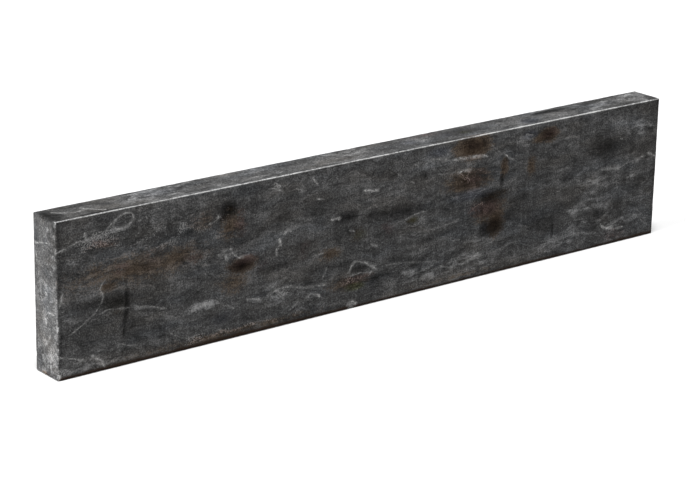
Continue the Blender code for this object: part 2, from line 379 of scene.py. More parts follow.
FRONT_THREADS = (
    # Upper left: the vein that feeds the crystals and the shell.
    Thread(Line.VEIN, ((-2, 160), (14, 165), (28, 169), (40, 170), (62, 173), (78, 184)), 1.5, 0.62),
    Thread(Line.VEIN, ((70, 176), (84, 176), (94, 175)), 1.2, 0.32),
    Thread(Line.VEIN, ((41, 177), (42, 170)), 1.8, 1.40),
    ring(Line.SHELL, (95, 184), (15, 8.5), 16, 1.7, 0.72),
    # Left: long diagonals and the edge of the dark blotch.
    Thread(Line.VEIN, ((69, 116), (61, 105), (65, 95), (60, 84), (50, 74), (31, 62), (17, 56)), 1.3, 0.50),
    Thread(Line.VEIN, ((8, 108), (4, 95)), 1.4, 0.95),
    Thread(Line.VEIN, ((62, 73), (72, 76), (92, 74), (117, 71), (135, 67), (155, 61)), 1.3, 0.36),
    Thread(Line.CRACK, ((104, 60), (130, 57), (158, 60)), 2.2, 0.55),
    Thread(Line.CRACK, ((98, 94), (97, 70), (95, 55), (94, 40)), 3.4, 0.75),
    Thread(Line.CRACK, ((62, 78), (61, 60)), 2.0, 0.40),
    Thread(Line.CRACK, ((0, 137), (20, 131), (40, 126)), 2.4, 0.60),
    # Lower left corner.
    Thread(Line.VEIN, ((2, 30), (15, 26), (34, 21)), 1.4, 0.55),
    Thread(Line.VEIN, ((49, 22), (55, 17), (62, 12), (66, 4)), 2.0, 1.00),
    Thread(Line.VEIN, ((82, 31), (104, 23), (124, 12)), 1.0, 0.28),
    Thread(Line.VEIN, ((162, 27), (180, 17), (197, 14)), 1.1, 0.25),
    Thread(Line.VEIN, ((150, 53), (170, 46)), 1.0, 0.40),
    Thread(Line.SHELL, ((195, 50), (211, 54), (225, 52)), 4.5, 0.42),
    Thread(Line.VEIN, ((243, 46), (250, 44), (258, 40)), 1.8, 0.40),
    # By the dark eye.
    Thread(Line.VEIN, ((222, 157), (230, 159), (236, 163)), 1.3, 0.38),
    Thread(Line.VEIN, ((233, 166), (236, 163)), 1.6, 0.55),
    # The white knots.
    Thread(Line.SHELL, ((242, 117), (248, 119), (254, 118)), 2.2, 0.65),
    Thread(Line.SHELL, ((236, 113), (239, 110)), 2.2, 0.55),
    Thread(Line.VEIN, ((246, 111), (248, 106)), 3.4, 0.62),
    Thread(Line.VEIN, ((256, 113), (261, 108)), 1.8, 0.50),
    Thread(Line.VEIN, ((265, 105), (272, 105)), 2.4, 0.75),
    # Short bright marks and flecks of the upper middle.
    Thread(Line.SHELL, ((337, 123), (342, 127), (346, 125)), 2.2, 0.85),
    Thread(Line.VEIN, ((329, 116), (331, 110)), 2.8, 1.25),
    Thread(Line.VEIN, ((325, 103), (325, 98)), 1.8, 0.75),
    Thread(Line.VEIN, ((314, 186), (324, 184), (331, 180)), 1.3, 0.60),
    Thread(Line.VEIN, ((322, 192), (330, 187)), 1.4, 0.75),
    Thread(Line.VEIN, ((356, 178), (368, 174)), 1.2, 0.50),
    Thread(Line.VEIN, ((382, 187), (388, 180)), 1.8, 0.90),
    Thread(Line.VEIN, ((389, 159), (398, 157)), 1.6, 0.70),
    Thread(Line.VEIN, ((413, 127), (426, 127)), 2.2, 1.00),
    Thread(Line.VEIN, ((467, 157), (477, 155), (489, 154)), 2.6, 1.00),
    Thread(Line.VEIN, ((384, 84), (398, 85)), 1.5, 0.65),
    Thread(Line.VEIN, ((444, 107), (449, 106)), 1.6, 0.70),
    Thread(Line.VEIN, ((480, 81), (488, 78)), 1.5, 0.50),
    Thread(Line.VEIN, ((522, 169), (526, 167)), 1.6, 0.45),
    Thread(Line.VEIN, ((551, 177), (555, 175)), 1.6, 0.75),
    Thread(Line.VEIN, ((543, 156), (548, 154)), 1.4, 0.38),
    # The long crest of the lower middle.
    Thread(Line.VEIN, ((280, 46), (290, 45), (300, 42)), 2.2, 0.62),
    Thread(Line.VEIN, ((312, 46), (328, 50), (344, 51), (358, 47), (375, 44), (405, 42)), 2.0, 0.62),
    Thread(Line.VEIN, ((372, 29), (382, 33), (394, 28)), 2.0, 0.80),
    Thread(Line.CRACK, ((368, 82), (370, 55)), 3.0, 0.45),
    Thread(Line.SHELL, ((399, 52), (406, 63)), 1.2, 0.38),
    # The roof-shaped shell over the red patch.
    Thread(Line.SHELL, ((442, 51), (450, 62), (461, 61), (474, 56)), 1.8, 0.95),
    Thread(Line.SHELL, ((474, 56), (481, 51), (487, 47)), 2.4, 0.68),
    Thread(Line.VEIN, ((436, 45), (458, 46), (480, 44)), 1.6, 0.50),
    ring(Line.SHELL, (448, 5), (7, 3.6), 0, 1.7, 1.00),
    Thread(Line.CRACK, ((500, 58), (530, 52), (566, 43)), 3.2, 0.34),
    Thread(Line.CRACK, ((500, 48), (534, 44), (560, 38)), 1.8, 0.45),
    Thread(Line.VEIN, ((505, 48), (534, 46), (562, 41), (600, 36)), 1.3, 0.28),
    Thread(Line.VEIN, ((536, 105), (548, 108), (558, 110), (568, 110)), 1.3, 0.45),
    Thread(Line.VEIN, ((560, 84), (590, 83), (618, 86)), 1.3, 0.35),
    Thread(Line.VEIN, ((620, 87), (627, 88)), 2.0, 0.50),
    Thread(Line.VEIN, ((622, 60), (630, 60)), 1.4, 0.60),
    # The crusty lines of the brown patches.
    Thread(Line.VEIN, ((580, 180), (598, 177), (612, 173), (628, 172)), 1.8, 0.50),
    Thread(Line.VEIN, ((620, 173), (640, 172), (658, 171), (676, 169)), 3.0, 0.95),
    Thread(Line.VEIN, ((625, 154), (636, 155), (648, 154)), 2.4, 1.05),
    Thread(Line.VEIN, ((655, 121), (672, 122), (690, 126)), 1.2, 0.25),
    Thread(Line.VEIN, ((590, 158), (608, 156), (622, 156)), 1.1, 0.18),
    Thread(Line.SHELL, ((683, 184), (693, 175), (704, 166)), 0.9, 0.28),
    Thread(Line.VEIN, ((707, 167), (713, 163), (718, 159), (724, 156)), 1.8, 0.85),
    Thread(Line.CRACK, ((722, 168), (728, 180), (744, 190)), 1.6, 0.50),
    Thread(Line.VEIN, ((748, 187), (757, 185)), 1.8, 0.60),
    Thread(Line.CRACK, ((706, 156), (705, 130), (706, 112)), 2.4, 0.70),
    Thread(Line.CRACK, ((768, 140), (778, 122), (788, 110)), 2.6, 0.45),
    ring(Line.CRACK, (718, 112), (5, 5), 0, 2.4, 0.55),
    Thread(Line.CRACK, ((748, 128), (747, 92), (749, 60)), 3.0, 0.50),
    Thread(Line.CRACK, ((745, 30), (745, 4)), 3.0, 0.45),
    Thread(Line.VEIN, ((738, 60), (752, 56)), 1.2, 0.22),
    Thread(Line.VEIN, ((638, 23), (650, 27), (665, 34)), 1.8, 0.70),
    Thread(Line.VEIN, ((600, 28), (618, 22)), 1.4, 0.45),
    # The right end of the face.
    Thread(Line.VEIN, ((818, 169), (830, 172), (843, 169)), 1.8, 0.30),
    ring(Line.SHELL, (828, 157), (3, 2.6), 0, 1.3, 0.35),
    ring(Line.CRACK, (825, 114), (12, 5.6), 0, 2.6, 0.85),
    Thread(Line.VEIN, ((893, 112), (908, 112), (927, 110)), 1.7, 0.70),
    Thread(Line.VEIN, ((930, 111), (945, 115), (960, 116)), 1.1, 0.35),
    Thread(Line.VEIN, ((966, 119), (976, 119)), 1.9, 0.52),
    Thread(Line.VEIN, ((984, 122), (995, 117)), 2.4, 1.15),
    Thread(Line.VEIN, ((897, 31), (905, 25), (919, 25)), 2.6, 1.15),
    Thread(Line.VEIN, ((922, 21), (938, 21)), 2.4, 1.00),
    Thread(Line.VEIN, ((962, 36), (976, 24), (994, 11)), 1.2, 0.24),
    Thread(Line.SHELL, ((966, 42), (978, 32)), 1.0, 0.30),
    Thread(Line.CRACK, ((802, 52), (802, 34)), 2.6, 0.60),
)

TOP_PATCHES = (
    Patch(Tone.DARK, (6, 25), (12, 24), 1.00),
    Patch(Tone.DARK, (50, 40), (46, 8), 0.55),
    Patch(Tone.DARK, (60, 4), (54, 4), 0.55),
    Patch(Tone.PALE, (165, 30), (38, 17), 0.80, 12),
    Patch(Tone.COOL, (165, 30), (34, 14), 0.35),
    Patch(Tone.DARK, (245, 30), (30, 9), 0.40),
    Patch(Tone.PALE, (330, 14), (60, 9), 0.30),
    Patch(Tone.DARK, (370, 34), (34, 8), 0.45),
    Patch(Tone.WINE, (600, 42), (34, 6), 0.45),
    Patch(Tone.COOL, (560, 26), (16, 10), 0.45),
    Patch(Tone.COOL, (630, 26), (22, 10), 0.40),
    Patch(Tone.COOL, (652, 24), (12, 8), -0.60),
    Patch(Tone.DARK, (655, 26), (34, 13), 0.70),
    Patch(Tone.WINE, (664, 26), (10, 8), 0.35),
    Patch(Tone.DARK, (765, 14), (15, 10), 0.70),
    Patch(Tone.COOL, (765, 15), (14, 9), 0.60),
    Patch(Tone.DARK, (820, 37), (26, 5), 1.10),
    Patch(Tone.DARK, (850, 26), (30, 5), 0.50),
    Patch(Tone.PALE, (907, 24), (30, 9), 0.65, 24),
    Patch(Tone.COOL, (907, 24), (28, 8), 0.35),
    Patch(Tone.PALE, (972, 25), (34, 26), 0.55),
    Patch(Tone.CRYSTAL, (500, 25), (500, 26), 0.35),
)

TOP_THREADS = (
    Thread(Line.VEIN, ((17, 34), (27, 25), (40, 20), (55, 22)), 1.6, 0.70),
    Thread(Line.VEIN, ((54, 30), (62, 20), (74, 9)), 1.8, 0.95),
    Thread(Line.CRACK, ((20, 4), (65, 3), (112, 5)), 3.0, 0.60),
    Thread(Line.CRACK, ((796, 39), (822, 37), (846, 34)), 3.0, 0.70),
    Thread(Line.VEIN, ((430, 44), (452, 30), (462, 18)), 1.2, 0.45),
    Thread(Line.VEIN, ((275, 8), (300, 14), (322, 12)), 1.2, 0.40),
)

LEFT_END_PATCHES = (
    # Painted light: the first four pale patches make the end lighter towards its foot and its front edge,
    # where more light falls on it.
    Patch(Tone.PALE, (34, 20), (26, 24), 0.64),
    Patch(Tone.PALE, (47, 60), (9, 26), 0.50),
    Patch(Tone.PALE, (32, 100), (14, 16), 0.45),
    Patch(Tone.PALE, (42, 165), (12, 46), 0.48),
    Patch(Tone.PALE, (25, 70), (5, 7), 0.50),
    Patch(Tone.DARK, (47, 133), (4, 7), 0.45),
    Patch(Tone.DARK, (6, 60), (9, 22), 0.45),
    Patch(Tone.DARK, (8, 178), (12, 28), 0.45),
    Patch(Tone.CRYSTAL, (25, 100), (26, 100), 0.35),
)

LEFT_END_THREADS = (
    Thread(Line.VEIN, ((4, 163), (16, 166), (30, 169)), 1.4, 0.60),
    Thread(Line.VEIN, ((33, 82), (42, 82)), 1.4, 0.60),
    Thread(Line.VEIN, ((22, 76), (26, 66)), 1.4, 0.55),
    Thread(Line.VEIN, ((6, 150), (12, 120), (16, 96)), 1.0, 0.30),
)


@dataclass(frozen=True)
class Scatter:
    """Marks for a face that has no listed ones, in millimetres and degrees.

    A pair is the least and the most of an even draw, except that heading and bend are the mean
    and the spread of a normal one.
    """

    face: Face
    patches: int
    threads: int
    seed: int
    tone_shares: tuple[float, ...] = (0.16, 0.10, 0.10, 0.30, 0.18, 0.16)
    tall: Pair = (4, 15)
    long_to_tall: Pair = (1.2, 3.2)
    strength: Pair = (0.4, 1.1)
    tilt: Pair = (-14, 14)
    heading: Pair = (-6, 13)
    length: Pair = (6, 60)
    shortening: Pair = (0.3, 1.0)
    bend: Pair = (0, 0.20)
    line_width: Pair = (1.0, 2.4)
    glow: Pair = (0.25, 0.75)
    kinds: tuple[Line, ...] = (Line.VEIN, Line.VEIN, Line.VEIN, Line.CRACK, Line.SHELL)

    def patch_list(self, width: float, height: float) -> tuple[Patch, ...]:
        """Random patches, longer than they are tall because the stone is bedded.

        Args:
            width: the face's width, in millimetres.
            height: the face's height, in millimetres.

        Returns:
            The patches.
        """
        dice = np.random.default_rng(self.seed)
        tones = list(Tone)
        made = []
        for number in dice.choice(len(tones), size=self.patches, p=self.tone_shares):
            middle = (dice.uniform(0, width), dice.uniform(0, height))
            tall = dice.uniform(*self.tall)
            long = tall * dice.uniform(*self.long_to_tall)
            strength = dice.uniform(*self.strength)
            tilt = dice.uniform(*self.tilt)
            made.append(Patch(tones[number], middle, (long, tall), strength, tilt))
        return tuple(made)

    def thread_list(self, width: float, height: float) -> tuple[Thread, ...]:
        """Random short lines that mostly follow the bedding, each bowed by a parabola.

        Args:
            width: the face's width, in millimetres.
            height: the face's height, in millimetres.

        Returns:
            The threads.
        """
        dice = np.random.default_rng(self.seed + 1)
        made = []
        for _ in range(self.threads):
            start = np.array((dice.uniform(0, width), dice.uniform(0, height)))
            heading = math.radians(dice.normal(*self.heading))
            length = dice.uniform(*self.length) * dice.uniform(*self.shortening)
            steps = np.linspace(0, length, 4)
            bend = dice.normal(*self.bend) * steps * (length - steps) / length
            x = start[0] + steps * math.cos(heading) - bend * math.sin(heading)
            y = start[1] + steps * math.sin(heading) + bend * math.cos(heading)
            kind = self.kinds[dice.integers(len(self.kinds))]
            line_width, glow = dice.uniform(*self.line_width), dice.uniform(*self.glow)
            made.append(Thread(kind, tuple(zip(x.tolist(), y.tolist())), line_width, glow))
        return tuple(made)


PLACED_MARKS = (
    (Face.FRONT, FRONT_PATCHES, FRONT_THREADS),
    (Face.TOP, TOP_PATCHES, TOP_THREADS),
    (Face.LEFT_END, LEFT_END_PATCHES, LEFT_END_THREADS),
)
SCATTERED_MARKS = (
    Scatter(Face.BACK, patches=70, threads=60, seed=41),
    Scatter(Face.BASE, patches=22, threads=14, seed=52),
    Scatter(Face.RIGHT_END, patches=7, threads=5, seed=63),
)


# ------------------------------------------------------------------ the slab's surface


@dataclass(frozen=True)
class Scar:
    """A broken flake, in metres: its middle on the sharp edge, the edge's direction, the way into
    the stone, its length along the edge, its depth and the roundness of the egg that breaks it out.
    """

    middle: np.ndarray
    along: np.ndarray
    into: np.ndarray
    length: float
    depth: float
    roundness: float = 0.020


@dataclass(frozen=True)
class NickStyle:
    """How the small scars along the arrises vary.

    Length and depth are in millimetres, the least and the most. Spacing and roundness are in
    metres. Reach is a share of the way from an edge's middle to its end, and lean is the spread
    of their tilt to either side.
    """

    seed: int = 7
    spacing: float = 0.045
    reach: float = 0.97
    lean: float = 0.25
    length: Pair = (3.0, 8.0)
    depth: Pair = (0.75, 1.30)
    roundness: float = 0.012


@dataclass(frozen=True)
class WeatheringAndPaintedLight:
    """Where rubbing and grime lie, in millimetres, with the painted light that comes with them:
    the band at the foot of the front face is grime and painted contact shade, and the pale worn
    arrises are battered stone and a painted glint.

    A pair says where an effect is nothing and where it is full. The value elsewhere, and the
    left_share, are shares of the full rubbing.
    """

    upper_front: Pair = (4.0, 1.5)
    above_foot: Pair = (1.0, 5.0)
    along_front: Pair = (150.0, 330.0)
    from_edge: Pair = (2.0, 0.7)
    elsewhere: float = 0.10
    left_share: float = 0.78
    foot_height: float = 6.8
    hump_height: float = 4.7
    hump_middle: float = 260.0
    hump_reach: float = 150.0
    foot_waver: float = 1.6
    behind_front: Pair = (2.0, 0.6)


@dataclass
class EdgingSlab:
    """The whole slab: one closed stone surface, with its marks and its material.

    Its own sizes are in metres; line_sample, mark_fade, line_reach and far_off are in the marks'
    millimetres.
    """

    low: Vector
    high: Vector
    arris: float = 1.6 * MM
    pitch: float = 2.8 * MM
    support: float = 0.8 * MM
    fine_steps: int = 4001
    busy_reach: float = 6.0 * MM
    busy_foot: float = 5.0 * MM
    swell: float = 0.07 * MM
    swell_waves: Pair = (90 * MM, 17 * MM)
    fine_swell: float = 0.25
    wear_depth: float = 0.32 * MM
    wear_reach: float = 1.7 * MM
    wear_waves: Pair = (34 * MM, 9 * MM)
    break_wave: float = 2.6 * MM
    break_roughness: float = 0.10
    break_fade: float = 0.35 * MM
    line_sample: float = 0.8
    mark_fade: float = 8.0
    line_reach: float = 12.0
    far_off: float = 60.0
    nick: NickStyle = NickStyle()
    weathering_and_painted_light: WeatheringAndPaintedLight = WeatheringAndPaintedLight()
    node: str = "edging_slab"
    slot: str = "dark_stone"
    points: np.ndarray = field(default_factory=lambda: np.zeros((0, 3)))
    quads: np.ndarray = field(default_factory=lambda: np.zeros((0, 4), int))
    broken: np.ndarray = field(default_factory=lambda: np.zeros(0))

    @property
    def centre(self) -> np.ndarray:
        """The middle of the slab's box."""
        return (np.array(self.low) + np.array(self.high)) / 2.0

    @property
    def half(self) -> np.ndarray:
        """Half the slab's length, thickness and height."""
        return (np.array(self.high) - np.array(self.low)) / 2.0

    def flake_scars(self) -> tuple[Scar, ...]:
        """The four large scars, where the solid model has them."""
        lengthwise, upright = np.eye(3)[[0, 2]]

        def scar(offset: Triple, along: np.ndarray, into: Triple, length: float, depth: float) -> Scar:
            """One scar, offset from the slab's lower left front corner."""
            middle = np.array(self.low) + np.array(offset)
            return Scar(middle, along, np.array(into) / np.linalg.norm(into), length, depth)

        return (
            scar((0, 0, 0.066), upright, into=(1, 0.4, 0), length=0.0105, depth=0.0023),
            scar((0, 0, 0.040), upright, into=(1, 0.6, 0), length=0.0070, depth=0.0017),
            scar((0.447, 0, 0), lengthwise, into=(0, 1, 0.8), length=0.0150, depth=0.0024),
            scar((0, 0, 0.0045), upright, into=(1, 1, 0), length=0.0100, depth=0.0026),
        )

    def nicks(self) -> list[Scar]:
        """Small scars strewn along all twelve arrises.

        Returns:
            The scars, each a little deeper than the rounded arris.
        """
        style = self.nick
        dice = np.random.default_rng(style.seed)
        axes = np.eye(3)
        found = []
        for axis in range(3):
            first, second = (axis + 1) % 3, (axis + 2) % 3
            for side in ((-1, -1), (-1, 1), (1, -1), (1, 1)):
                corner = side[0] * axes[first] * self.half + side[1] * axes[second] * self.half
                into = -(side[0] * axes[first] + side[1] * axes[second]) / math.sqrt(2.0)
                count = max(2, int(2 * self.half[axis] / style.spacing))
                for place in dice.uniform(-style.reach, style.reach, size=count):
                    lean = into + dice.normal(0.0, style.lean) * np.cross(axes[axis], into)
                    middle = self.centre + corner + place * self.half[axis] * axes[axis]
                    length = dice.uniform(*style.length) * MM
                    depth = dice.uniform(*style.depth) * MM
                    lean = lean / np.linalg.norm(lean)
                    found.append(Scar(middle, axes[axis], lean, length, depth, style.roundness))
        return found

    def grid_lines(self, half: float, busy: Sequence[float]) -> np.ndarray:
        """Grid lines across one side, from its middle, symmetric but for the busy places.

        Four lines share out each rounded arris by equal angles, at r * (1 - tan(angle)) from
        the edge, and one more supports it. Between them the lines stand at equal steps of the
        summed density, which is 1 / pitch and doubles around each busy place.

        Args:
            half: half the side's length, in metres.
            busy: places, from the side's middle, where lines stand closer.

        Returns:
            The lines' places, in order, from -half to half.
        """
        angles = np.radians((45.0, 30.0, 15.0, 0.0))
        edge = np.append(self.arris * (1.0 - np.tan(angles)), self.arris + self.support)
        inner = half - edge[-1]
        fine = np.linspace(-inner, inner, self.fine_steps)
        density = np.ones_like(fine)
        for place in busy:
            density += np.exp(-(((fine - place) / self.busy_reach) ** 2))
        steps = np.concatenate(([0.0], np.cumsum((density[1:] + density[:-1]) / 2.0)))
        steps *= (fine[1] - fine[0]) / self.pitch
        wanted = np.linspace(0.0, steps[-1], int(math.ceil(steps[-1])) + 1)
        middle = np.interp(wanted, steps, fine)
        return np.concatenate((-half + edge[:-1], middle, (half - edge[:-1])[::-1]))

    def build_grid(self) -> None:
        """Six grids of a box, welded along its edges by the number of each lattice point.

        A point of a face is (X[i], Y[j], Z[k]) with one of i, j and k at an end. Its number is
        (i * ny + j) * nz + k, so points that two or three faces share get the same number.
        """
        chip, nick, lower_chip, _ = (scar.middle - self.centre for scar in self.flake_scars())
        foot = self.busy_foot - float(self.half[2])
        lines = [
            self.grid_lines(float(self.half[0]), (lower_chip[0],)),
            self.grid_lines(float(self.half[1]), ()),
            self.grid_lines(float(self.half[2]), (chip[2], nick[2], foot)),
        ]
        counts = np.array([len(line) for line in lines])
        numbers, quads, start = [], [], 0
        for face in Face:
            across, upward = int(np.argmax(np.abs(face.right))), int(np.argmax(np.abs(face.up)))
            out = int(np.argmax(np.abs(face.outward)))
            columns, rows = np.arange(counts[across]), np.arange(counts[upward])
            if face.right[across] < 0:
                columns = columns[::-1]
            if face.up[upward] < 0:
                rows = rows[::-1]
            index = np.zeros((len(rows), len(columns), 3), int)
            index[..., across] = columns[None, :]
            index[..., upward] = rows[:, None]
            index[..., out] = counts[out] - 1 if face.outward[out] > 0 else 0
            numbers.append((index[..., 0] * counts[1] + index[..., 1]) * counts[2] + index[..., 2])
            local = start + np.arange(numbers[-1].size).reshape(numbers[-1].shape)
            ring_of = (local[:-1, :-1], local[:-1, 1:], local[1:, 1:], local[1:, :-1])
            quads.append(np.stack([corner.ravel() for corner in ring_of], axis=1))
            start += numbers[-1].size
        flat = np.concatenate([number.ravel() for number in numbers])
        unique, welded = np.unique(flat, return_inverse=True)
        self.quads = welded.reshape(-1)[np.concatenate(quads)]
        i, rest = np.divmod(unique, counts[1] * counts[2])
        j, k = np.divmod(rest, counts[2])
        sharp = np.stack((lines[0][i], lines[1][j], lines[2][k]), axis=1)
        self.round_arrises(sharp)

    def round_arrises(self, sharp: np.ndarray) -> None:
        """Round the box: q is the point clamped to the box less the arris r, and it moves to
        q + r * (p - q) / |p - q|, which leaves the faces flat and makes each edge a quarter round.
        Then it sinks by the swell's two ripples, and by the wear, which fades off the edges as
        exp(-(distance / reach)^2).

        Args:
            sharp: the points p of the sharp box, from its middle.
        """
        inner = np.clip(sharp, -(self.half - self.arris), self.half - self.arris)
        out = sharp - inner
        out /= np.linalg.norm(out, axis=1, keepdims=True)
        self.points = self.centre + inner + self.arris * out
        broad, fine = self.swell_waves
        depth = self.swell * (1.0 + ripple(self.points, broad, seed=3)) / 2.0
        depth += self.fine_swell * self.swell * (1.0 + ripple(self.points, fine, seed=4)) / 2.0
        near = np.exp(-((self.edge_distance() / self.wear_reach) ** 2))
        broad, fine = self.wear_waves
        worn = 0.5 + 0.5 * ripple(self.points, broad, seed=5) + 0.3 * ripple(self.points, fine, seed=6)
        depth += near * np.clip(worn, 0.0, 1.2) * self.wear_depth
        self.points -= out * np.clip(depth, 0.0, None)[:, None]

    def edge_distance(self) -> np.ndarray:
        """Each point's distance from the nearest edge: the second smallest to the box's planes."""
        inside = self.half - np.abs(self.points - self.centre)
        return np.sort(inside, axis=1)[:, 1]

    def break_flakes(self) -> None:
        """Push every point that a scar's egg holds on to the egg's inner side.

        In the egg's own axes, scaled to a unit ball, the inner side is at w = sqrt(1 - s^2 -
        t^2), where s runs along the edge, t across it and w into the stone.
        """
        self.broken = np.zeros(len(self.points))
        rough = ripple(self.points, self.break_wave, seed=8)
        for scar in [*self.flake_scars(), *self.nicks()]:
            stand_off = scar.roundness - scar.depth
            share = math.sqrt(1.0 - (stand_off / scar.roundness) ** 2)
            sizes = (scar.length / 2.0 / share, scar.roundness, scar.roundness)
            across = np.cross(scar.into, scar.along)
            from_egg = self.points - (scar.middle - scar.into * stand_off)
            s, t, w = (
                (from_egg @ way) / size
                for way, size in zip((scar.along, across, scar.into), sizes)
            )
            held = s * s + t * t + w * w < 1.0
            inner = np.sqrt(np.clip(1.0 - s * s - t * t, 0.0, None))
            shift = np.where(held, (inner - w) * scar.roundness, 0.0)
            shift *= 1.0 + self.break_roughness * rough
            self.points += shift[:, None] * scar.into
            self.broken = np.maximum(self.broken, smoothstep(0.0, self.break_fade, shift))

    def on_face(self, face: Face) -> tuple[np.ndarray, np.ndarray, np.ndarray]:
        """Every point as seen on one face, in millimetres.

        Args:
            face: the face looked at.

        Returns:
            The distance from the left, the height, and the depth behind the face's plane.
        """
        away = (self.points - self.centre) / MM
        half = self.half / MM
        right = away @ face.right + abs(half @ face.right)
        up = away @ face.up + abs(half @ face.up)
        depth = abs(half @ face.outward) - away @ face.outward
        return right, up, depth

    def lay_patches(self, face: Face, patches: Sequence[Patch], fields: dict[str, np.ndarray]) -> None:
        """Add patches to their channels: strength * (1 - rho / 2), where rho is the distance from
        the middle in half widths, fading with depth behind the face. The largest value stands,
        except that the cool tint, which has a sign, is added up.

        Args:
            face: the face that the patches are on.
            patches: the patches.
            fields: the attributes, changed in place.
        """
        right, up, depth = self.on_face(face)
        fade = smoothstep(self.mark_fade, 0.0, depth)
        for patch in patches:
            turn = math.radians(patch.tilt)
            x, y = right - patch.middle[0], up - patch.middle[1]
            along = (x * math.cos(turn) + y * math.sin(turn)) / patch.reach[0]
            across = (y * math.cos(turn) - x * math.sin(turn)) / patch.reach[1]
            cloud = patch.strength * np.clip(1.0 - np.hypot(along, across) / 2.0, 0.0, 1.0) * fade
            name, channel = patch.tone.value
            target = fields[name][:, channel]
            target[:] = target + cloud if patch.tone is Tone.COOL else np.maximum(target, cloud)

    def curve_through(self, points: Sequence[Pair]) -> np.ndarray:
        """A smooth curve through the points: Catmull-Rom, ((2 b) + (c - a) t + (2 a - 5 b + 4 c -
        d) t^2 + (3 b - a - 3 c + d) t^3) / 2 between b and c, with the end points doubled.

        Args:
            points: the points, in millimetres.

        Returns:
            Points close together along the curve, in millimetres.
        """
        knots = np.array([points[0], *points, points[-1]], float)
        a, b, c, d = (knots[i : len(knots) - 3 + i, None] for i in range(4))
        longest = np.linalg.norm(np.diff(knots, axis=0), axis=1).max()
        t = np.linspace(0.0, 1.0, max(3, int(longest / self.line_sample)), endpoint=False)[None, :, None]
        curve = 2 * b + (c - a) * t + (2 * a - 5 * b + 4 * c - d) * t**2
        curve = (curve + (3 * b - a - 3 * c + d) * t**3) / 2
        return np.concatenate((curve.reshape(-1, 2), knots[-1:]))

    def lay_threads(self, face: Face, threads: Sequence[Thread], fields: dict[str, np.ndarray]) -> None:
        """Give points near a line their place beside it, so that the material can draw the line
        far finer than the grid: which side they are on, in half widths; the plain distance, in
        millimetres; and the line's glow. The nearest line of a kind stands.

        Args:
            face: the face that the lines are on.
            threads: the lines.
            fields: the attributes, changed in place.
        """
        right, up, depth = self.on_face(face)
        margin = self.line_reach
        for thread in threads:
            curve = self.curve_through(thread.points)
            low, high = curve.min(axis=0) - margin, curve.max(axis=0) + margin
            beside_it = (right > low[0]) & (right < high[0]) & (up > low[1]) & (up < high[1])
            near = np.flatnonzero(beside_it & (depth < margin))
            place = np.stack((right[near], up[near]), axis=1)[:, None]
            start, run = curve[:-1], np.diff(curve, axis=0)
            share = ((place - start) * run).sum(axis=2) / (run * run).sum(axis=1)
            gap = place - (start + np.clip(share, 0.0, 1.0)[..., None] * run)
            distance = np.hypot(gap[..., 0], gap[..., 1])
            nearest = distance.argmin(axis=1)
            rows = np.arange(len(near))
            beside = place[:, 0] - start[nearest]
            turn = run[nearest, 0] * beside[:, 1] - run[nearest, 1] * beside[:, 0]
            flat = distance[rows, nearest]
            reach = np.hypot(flat, depth[near])
            target = fields[thread.kind.value]
            closer = reach < target[near, 1]
            chosen = near[closer]
            target[chosen, 0] = (np.sign(turn) * flat / (thread.width / 2.0))[closer]
            target[chosen, 1] = reach[closer]
            target[chosen, 2] = thread.glow

    def wear_and_painted_light(self) -> np.ndarray:
        """How broken, how worn and how grimy each point is, with painted light in the last two.

        Rubbing follows the arrises, most on the upper front one, and its pale colour is also a
        painted glint. Grime and painted contact shade climb the foot of the front face, highest at a
        hump of height * exp(-((along - middle) / reach)^2).

        Returns:
            Three columns: broken, worn and grimy, each from 0 to 1; the worn one is also a painted
            glint and the grimy one also painted contact shade.
        """
        by = self.weathering_and_painted_light
        along, height, from_front = self.on_face(Face.FRONT)
        from_top = 2.0 * self.half[2] / MM - height
        upper_front = smoothstep(*by.upper_front, np.maximum(from_top, from_front))
        exposed = by.elsewhere + (1.0 - by.elsewhere) * upper_front
        exposed *= smoothstep(*by.above_foot, height)
        exposed *= by.left_share + (1.0 - by.left_share) * smoothstep(*by.along_front, along)
        # Rubbing on the arrises, strongest on the upper front one; its pale colour is also a painted
        # glint.
        rubbed_and_glint = smoothstep(*by.from_edge, self.edge_distance() / MM) * exposed
        rubbed_and_glint *= 0.85 + 0.15 * ripple(self.points, 22 * MM, seed=9)
        # The foot band: grime and painted contact shade, darkest at the floor.
        foot = by.foot_height + by.hump_height * np.exp(-(((along - by.hump_middle) / by.hump_reach) ** 2))
        foot += by.foot_waver * ripple(self.points, 120 * MM, seed=10)
        foot += ripple(self.points, 25 * MM, seed=11)
        dirt_and_contact_shade_mask = smoothstep(1.0, 0.0, height / foot) * smoothstep(*by.behind_front, from_front)
        return np.stack((self.broken, np.clip(rubbed_and_glint, 0.0, 1.0), dirt_and_contact_shade_mask), axis=1)

    def marks(self) -> dict[str, np.ndarray]:
        """All the attributes that the stone's material reads, one row for each point."""
        count = len(self.points)
        fields = {tone.value[0]: np.zeros((count, 3)) for tone in Tone}
        for kind in Line:
            fields[kind.value] = np.tile((self.far_off, self.far_off, 0.0), (count, 1))
        for face, patches, threads in PLACED_MARKS:
            self.lay_patches(face, patches, fields)
            self.lay_threads(face, threads, fields)
        for scatter in SCATTERED_MARKS:
            width = 2.0 * abs(self.half @ scatter.face.right) / MM
            height = 2.0 * abs(self.half @ scatter.face.up) / MM
            self.lay_patches(scatter.face, scatter.patch_list(width, height), fields)
            self.lay_threads(scatter.face, scatter.thread_list(width, height), fields)
        # The wear attribute also carries painted light: contact shade painted at the foot of the front
        # face and a glint painted on the pale arrises and scars.
        fields["wear"] = self.wear_and_painted_light()
        return fields

